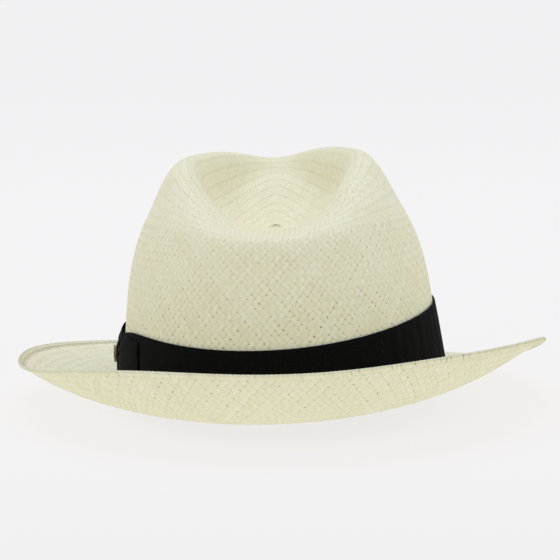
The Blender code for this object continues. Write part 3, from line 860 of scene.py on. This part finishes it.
EDGE_SHARE = 0.35
RIB_PITCH = 0.9 * MM
RIB_SAMPLES = 4
RIB_DEPTH = 0.07 * MM
OVAL_OVER_DIAMOND = 1.11                # an oval's girth over that of the diamond in it
BAND_ROWS = (0, 0.02, 0.12, 0.26, 0.42, 0.58, 0.74, 0.88, 0.98, 1.0)
FLARE = 3.0 * MM
FLARE_AT = (272, 30)                    # degrees round the hat, and spread
FOLD_DEPTH = 0.45 * MM
FOLDS_AT = (305, 24)
LOOP_COLUMNS = RIB_SAMPLES * 104
WING_FOLD = 0.04                        # the fold at a wing's end, of the ribbon's length
WING_FOLD_ROUND = 0.5 * MM
WING_CLEARANCE = 0.2 * MM
WING_GAP = 0.3 * MM                     # between a loop's layers where it lies flattest
WING_HALF_THICKNESS = 0.2 * MM
WING_RIB_SHARE = 0.6
PLEATS = 3.2 * math.pi
PLEAT_DEPTH = 0.75 * MM                 # at the knot, fading to what lasts to the wing's end
PLEAT_LASTS = 0.18 * MM
PLEAT_FADE = 2.2
KNOT_TURN_TOP = (0.35, 0.55)            # where it turns in, over how much, of half its height
KNOT_TURN_BOTTOM = (0.8, 0.2)
KNOT_FOLD_DEPTH = 0.35 * MM
KNOT_ROUND = 0.5 * MM
KNOT_HALF_THICKNESS = 0.22 * MM


def ribs(count):
    """How much thicker the ribbon is on each of count columns, RIB_SAMPLES to a rib."""
    return RIB_DEPTH * np.cos(TAU * np.arange(count) / RIB_SAMPLES)


def sheet_piece(name, node, middle, half_thickness, material, closed=False):
    """A sheet in place of a CAD node. Thinner first and last rows round its edges."""
    share = np.ones((len(middle), 1))
    share[[0, -1]] = EDGE_SHARE
    points, quads = slab(middle, half_thickness * share, closed)
    piece = quad_mesh(name, points, quads, material)
    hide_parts(node)
    return piece


def near(angle, place, spread):
    """1 at a place round the hat, falling to 0 away from it. Both are in degrees."""
    return np.exp(-0.5 * (turn_from(angle, place) / math.radians(spread)) ** 2)


def hatband_offset(angle, v):
    """How far the band stands off its close fit: a flare at the wearer's right, and soft folds."""
    flare = FLARE * near(angle, *FLARE_AT) * (1 - v) ** 1.3
    wrinkle = np.sin(angle * 46 + 0.8 * v) * 0.5 + np.sin(angle * 71 + 1.7 - 0.6 * v) * 0.35
    return flare + FOLD_DEPTH * near(angle, *FOLDS_AT) * wrinkle * (1 - 0.5 * v)


def folded_loop(run, fold):
    """A loop of ribbon along its length (run, 0 to 1), with a fold of a given share of it: how far
    out each point is (0 to 1), and how far round the fold (0 to pi)."""
    out = np.clip(np.where(run < 0.5, run, 1 - run) / (0.5 - fold / 2), 0, 1)
    return out, np.clip((run - 0.5) / fold + 0.5, 0, 1) * math.pi


def make_hatband():
    around = 4 * math.hypot(HEAD_HALF_WIDTH, HEAD_HALF_LENGTH) * OVAL_OVER_DIAMOND
    columns = RIB_SAMPLES * round(around / RIB_PITCH)
    angle = np.arange(columns) * TAU / columns
    v = np.array(BAND_ROWS)[:, None]
    height = BAND_START + v * (band_top(angle) - BAND_START)
    middle = wall(np.broadcast_to(angle, height.shape), height,
                  GAP + BAND_THICKNESS / 2 + hatband_offset(angle, v))
    piece = sheet_piece("ribbon_hatband", "hatband", middle, BAND_THICKNESS / 2 + ribs(columns),
                        RIBBON, closed=True)


def make_wing(name, node, side, half_heights, fan, fullness):
    """A flattened loop of ribbon: out from the knot, round a fold and back underneath."""
    out, bend = folded_loop(np.linspace(0, 1, LOOP_COLUMNS), WING_FOLD)
    reach = WING_START + WING_LENGTH * out + WING_FOLD_ROUND * np.sin(bend)
    v = np.linspace(-1, 1, 25)[:, None]
    arch = np.sin(out**0.8 * math.pi) ** 0.8
    gap = WING_GAP + fullness * arch * (1 - 0.35 * v**4)
    depth = GAP + BAND_THICKNESS + GAP + WING_CLEARANCE + gap * (1 + np.cos(bend)) / 2
    pleats = np.cos(v * PLEATS + 0.5) * (PLEAT_DEPTH * np.exp(-out * PLEAT_FADE) + PLEAT_LASTS)
    depth = depth + np.maximum(pleats, -0.2 * MM) * np.minimum(out * 8, 1)
    half_height = wing_half_height(reach, half_heights, fan)
    height = BOW_HEIGHT + v * half_height * (1 - 0.05 * np.abs(v) * out)
    angle = arc_angle(BOW_ANGLE, side * reach) + 0 * v
    fit = hatband_offset(angle, height / BAND_HEIGHT)
    middle = wall(angle, height, depth + fit)
    half_thickness = WING_HALF_THICKNESS + WING_RIB_SHARE * ribs(LOOP_COLUMNS)
    return sheet_piece(name, node, middle, half_thickness, RIBBON)


# half heights at the knot and at the end, where it fans out between them, and fullness
REAR_WING = ((3.5 * MM, 14.5 * MM), (8 * MM, 33 * MM), 1.9 * MM)
FRONT_WING = ((4.5 * MM, 13.6 * MM), (2 * MM, 27 * MM), 3.6 * MM)


def make_bow():
    for name, node, side, shape in (("bow_wing_rear", "bow_rear_wing", -1, REAR_WING),
                                    ("bow_wing_front", "bow_front_wing", 1, FRONT_WING)):
        piece = make_wing(name, node, side, *shape)
    make_knot()


def make_knot():
    """The wrap round the bow's middle, which turns in to the band at its top and bottom."""
    across = np.linspace(-1, 1, 65)
    v = np.linspace(-1, 1, 41)[:, None]
    foot = GAP + BAND_THICKNESS + 2 * GAP
    over = foot + WING_THICKNESS + GAP
    start, spread = (np.where(v > 0, *ends) for ends in zip(KNOT_TURN_TOP, KNOT_TURN_BOTTOM))
    beyond = np.clip((np.abs(v) - start) / spread, 0, 1)
    base = over - (over - foot) * beyond * beyond * (3 - 2 * beyond)
    folds = KNOT_FOLD_DEPTH * np.cos(across * 2.6 * math.pi) * (1 - beyond)
    middle = wall(arc_angle(BOW_ANGLE, across * KNOT_WIDTH / 2) + 0 * v,
                  BOW_HEIGHT + v * KNOT_HEIGHT / 2 + 0 * across,
                  base + KNOT_THICKNESS / 2 + folds - KNOT_ROUND * across**4)
    piece = sheet_piece("bow_knot_wrap", "bow_knot", middle, KNOT_HALF_THICKNESS, RIBBON)


# ---------------------------------------------------------------- inside

SWEATBAND_COLUMNS = 480
SWEATBAND_STITCHES = 150
SWEATBAND_STITCH_HEIGHT = 3 * MM
SWEATBAND_STITCH_HALF = (0.24 * MM, 0.18 * MM)
JOINT_TAPE_START = 4.2 * MM
LABEL_START = 9 * MM


def make_sweatband():
    columns = SWEATBAND_COLUMNS
    angle = np.arange(columns) * TAU / columns
    v = np.concatenate([[0, 0.01], np.linspace(0.04, 0.96, 14), [0.99, 1.0]])[:, None]
    wave = 0.25 * MM * (np.sin(9 * angle + 1) + np.sin(14 * angle + 2.3)) * v**2
    height = SWEATBAND_START + v * (SWEATBAND_HEIGHT + 0.3 * MM * np.sin(5 * angle))
    crease = 0.10 * MM * np.exp(-((v - 0.22) / 0.03) ** 2)
    middle = wall(angle + 0 * v, height, inside(height, SWEATBAND_THICKNESS / 2) - wave - crease)
    piece = sheet_piece("leather_sweatband", "sweatband", middle, 0.38 * MM, LEATHER,
                        closed=True)


def make_sweatband_stitches():
    run = np.linspace(-1, 1, 5)
    height = SWEATBAND_START + SWEATBAND_STITCH_HEIGHT
    angle = TAU * (np.arange(SWEATBAND_STITCHES)[:, None] + 0.34 * run) / SWEATBAND_STITCHES
    rise = -(SWEATBAND_THICKNESS + 0.12 * MM - 0.25 * MM * run**4)
    points = wall(angle, height, inside(height, 0) + rise)
    normals = -np.moveaxis(oval_out(angle), 0, -1)
    stitch_row("sweatband_stitches", "sweatband_stitching", points, normals, SWEATBAND_STITCH_HALF,
               BLACK_THREAD)


def lining_sheet(name, node, centre, arcs, height, depth, half_thickness, material):
    """A sheet on the sweatband's inner face, at arc lengths from a direction in degrees. depth is
    how far it stands off that face."""
    middle = wall(arc_angle(centre, arcs) + 0 * height, height,
                  inside(height, SWEATBAND_THICKNESS + depth))
    return sheet_piece(name, node, middle, half_thickness, material)


def make_lining_patch(name, node, centre, size, start, rows, half_thickness, material):
    """A flat patch on the sweatband: the tape over its joint, or the label."""
    width, tall, thick = size
    arcs = np.linspace(-0.5, 0.5, 25) * width
    v = np.linspace(0, 1, rows)[:, None]
    piece = lining_sheet(name, node, centre, arcs, SWEATBAND_START + start + v * tall + 0 * arcs,
                         GAP + thick / 2, half_thickness, material)


def make_lining_bow():
    """The small bow on the joint's tape: a loop on either side, and its wrap."""
    length, half = LINING_BOW_LOOP
    knot_width, knot_tall, knot_thick = LINING_BOW_KNOT
    on_tape = GAP + JOINT_TAPE[2] + GAP
    v = np.linspace(-1, 1, 13)[:, None]
    out, bend = folded_loop(np.linspace(0, 1, 90), fold=0.1)
    height = LINING_BOW_HEIGHT + v * half * (0.4 + 0.6 * np.sin(out * math.pi * 0.7))
    depth = on_tape + 0.25 * MM + 1.0 * MM * np.sin(out * math.pi * 0.6) * (1 + np.cos(bend)) / 2
    for label, side in (("left", 1), ("right", -1)):
        lining_sheet(f"lining_bow_loop_{label}", f"sweatband_bow_{label}", 0,
                     side * (knot_width / 2 + length * out), height, depth, 0.14 * MM, RIBBON)
    arcs = np.linspace(-0.5, 0.5, 13) * knot_width
    lining_sheet("lining_bow_wrap", "sweatband_bow_knot", 0, arcs,
                 LINING_BOW_HEIGHT + v * knot_tall / 2 + 0 * arcs,
                 on_tape + knot_thick * (0.75 - 0.5 * v**4), 0.3 * MM, RIBBON)


def make_lining_details():
    make_lining_patch("joint_tape", "sweatband_joint_tape", 0, JOINT_TAPE, JOINT_TAPE_START, 15,
                      0.18 * MM, LEATHER)
    make_lining_bow()
    make_lining_patch("blank_size_label", "size_label", LABEL_ANGLE, LABEL, LABEL_START, 9,
                      0.13 * MM, LABEL_CLOTH)


def dress_cad_nodes():
    """The hard pieces keep their CAD shape and get their materials."""
    for start, material in (("badge_", BRASS), ("sweatband_reed", LEATHER),
                            ("hatband_tack", BLACK_THREAD)):
        for node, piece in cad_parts.items():
            if node.startswith(start):
                piece.data.materials.clear()
                piece.data.materials.append(material)


# ---------------------------------------------------------------- studio and camera

CAMERA_TURN = math.radians(1.52)        # towards the wearer's right of straight behind
CAMERA_RISE = math.radians(7.415)
CAMERA_ROLL = math.radians(-2.64)
CAMERA_DISTANCE = 1.1026
CAMERA_TARGET = (0, 0, 60 * MM)
FOCAL_WIDTHS = 3.634                    # focal length over the picture's width
AIM_RIGHT = -0.00102                    # where the target sits off the picture's middle, as slopes
AIM_UP = 0.0035
SENSOR_MM = 36.0
FLOOR_RADIUS = 40
# the floor's glow by metres along +Y: painted light that lifts the hat's shadow, dimmer towards the
# camera as painted shade
FLOOR_PAINTED_GLOW_TONES = [(0.15, (0.785, 0.772, 0.768)), (0.9, (0.70, 0.70, 0.69))]
# from level to straight up
SKY_TONES = [(0.0, (0.905, 0.905, 0.935)), (0.10, (0.905, 0.905, 0.94)), (0.2, (0.66, 0.66, 0.69)),
             (0.6, (0.68, 0.68, 0.73)), (1.0, (0.98, 1.02, 1.30))]
SOFTBOX_PLACE = (0.1, -0.65, 1.75)
SOFTBOX_SIZE = 1.6
SOFTBOX_WATTS = 7
SOFTBOX_TARGET = (0, 0, 0.06)


def make_camera():
    back = np.array([-math.sin(CAMERA_TURN) * math.cos(CAMERA_RISE),
                     math.cos(CAMERA_TURN) * math.cos(CAMERA_RISE), math.sin(CAMERA_RISE)])
    place = np.array(CAMERA_TARGET) + CAMERA_DISTANCE * back
    right = unit(np.cross(-back, [0, 0, 1]))
    up = np.cross(right, -back)
    right, up = (right * math.cos(CAMERA_ROLL) + up * math.sin(CAMERA_ROLL),
                 up * math.cos(CAMERA_ROLL) - right * math.sin(CAMERA_ROLL))
    forward = unit(-back - right * AIM_RIGHT - up * AIM_UP)
    right = unit(np.cross(forward, up))
    up = np.cross(right, forward)
    turn = REST_TURN @ np.array([right, up, -forward]).T
    data = bpy.data.cameras.new("camera")
    data.sensor_width = SENSOR_MM
    data.lens = SENSOR_MM * FOCAL_WIDTHS
    data.clip_end = 200
    camera = bpy.data.objects.new("camera", data)
    camera.matrix_world = Matrix.Translation(Vector(to_row(place))) @ Matrix(turn.tolist()).to_4x4()
    bpy.context.scene.collection.objects.link(camera)
    bpy.context.scene.camera = camera


def coordinate(tree, kind, axis):
    """One coordinate of a texture position, as a value."""
    place = tree.nodes.new("ShaderNodeTexCoord")
    parts = tree.nodes.new("ShaderNodeSeparateXYZ")
    tree.links.new(place.outputs[kind], parts.inputs[0])
    return parts.outputs[axis]


def make_floor():
    bpy.ops.mesh.primitive_circle_add(vertices=96, radius=FLOOR_RADIUS, fill_type="NGON",
                                      location=(0, 0, 0))
    floor = bpy.context.object
    floor.name = "floor"
    material = new_material("glowing_pale_floor", (0.13, 0.13, 0.13), 0.9, specular=0.0)
    tree, shader = nodes_of(material)
    # The floor glows though it is no lamp: this is painted light that fills the shade under the
    # hat. Its glow fades along +Y, which is painted shade towards the camera.
    glow = ramp(tree, coordinate(tree, "Object", 1), FLOOR_PAINTED_GLOW_TONES)
    tree.links.new(glow, shader.inputs["Emission Color"])
    shader.inputs["Emission Strength"].default_value = 1.0
    floor.data.materials.append(material)


def make_world():
    world = bpy.data.worlds.new("studio")
    bpy.context.scene.world = world
    world.use_nodes = True
    tree = world.node_tree
    sky = ramp(tree, coordinate(tree, "Generated", 2), SKY_TONES)
    tree.links.new(sky, tree.nodes["Background"].inputs["Color"])
    tree.nodes["Background"].inputs["Strength"].default_value = 1.0


def make_softbox():
    data = bpy.data.lights.new("overhead_softbox", "AREA")
    data.shape = "DISK"
    data.size = SOFTBOX_SIZE
    data.energy = SOFTBOX_WATTS
    light = bpy.data.objects.new("overhead_softbox", data)
    light.location = SOFTBOX_PLACE
    direction = Vector(SOFTBOX_TARGET) - Vector(SOFTBOX_PLACE)
    light.rotation_euler = direction.to_track_quat("-Z", "Y").to_euler()
    bpy.context.scene.collection.objects.link(light)


def make_studio():
    make_floor()
    make_world()
    make_softbox()
    bpy.context.scene.view_settings.view_transform = "Standard"


make_camera()
make_studio()
make_brim_and_side()
make_tip()
make_rings()
make_rosette()
make_turned_edge()
make_edge_stitches()
make_hatband()
make_bow()
make_sweatband()
make_sweatband_stitches()
make_lining_details()
dress_cad_nodes()
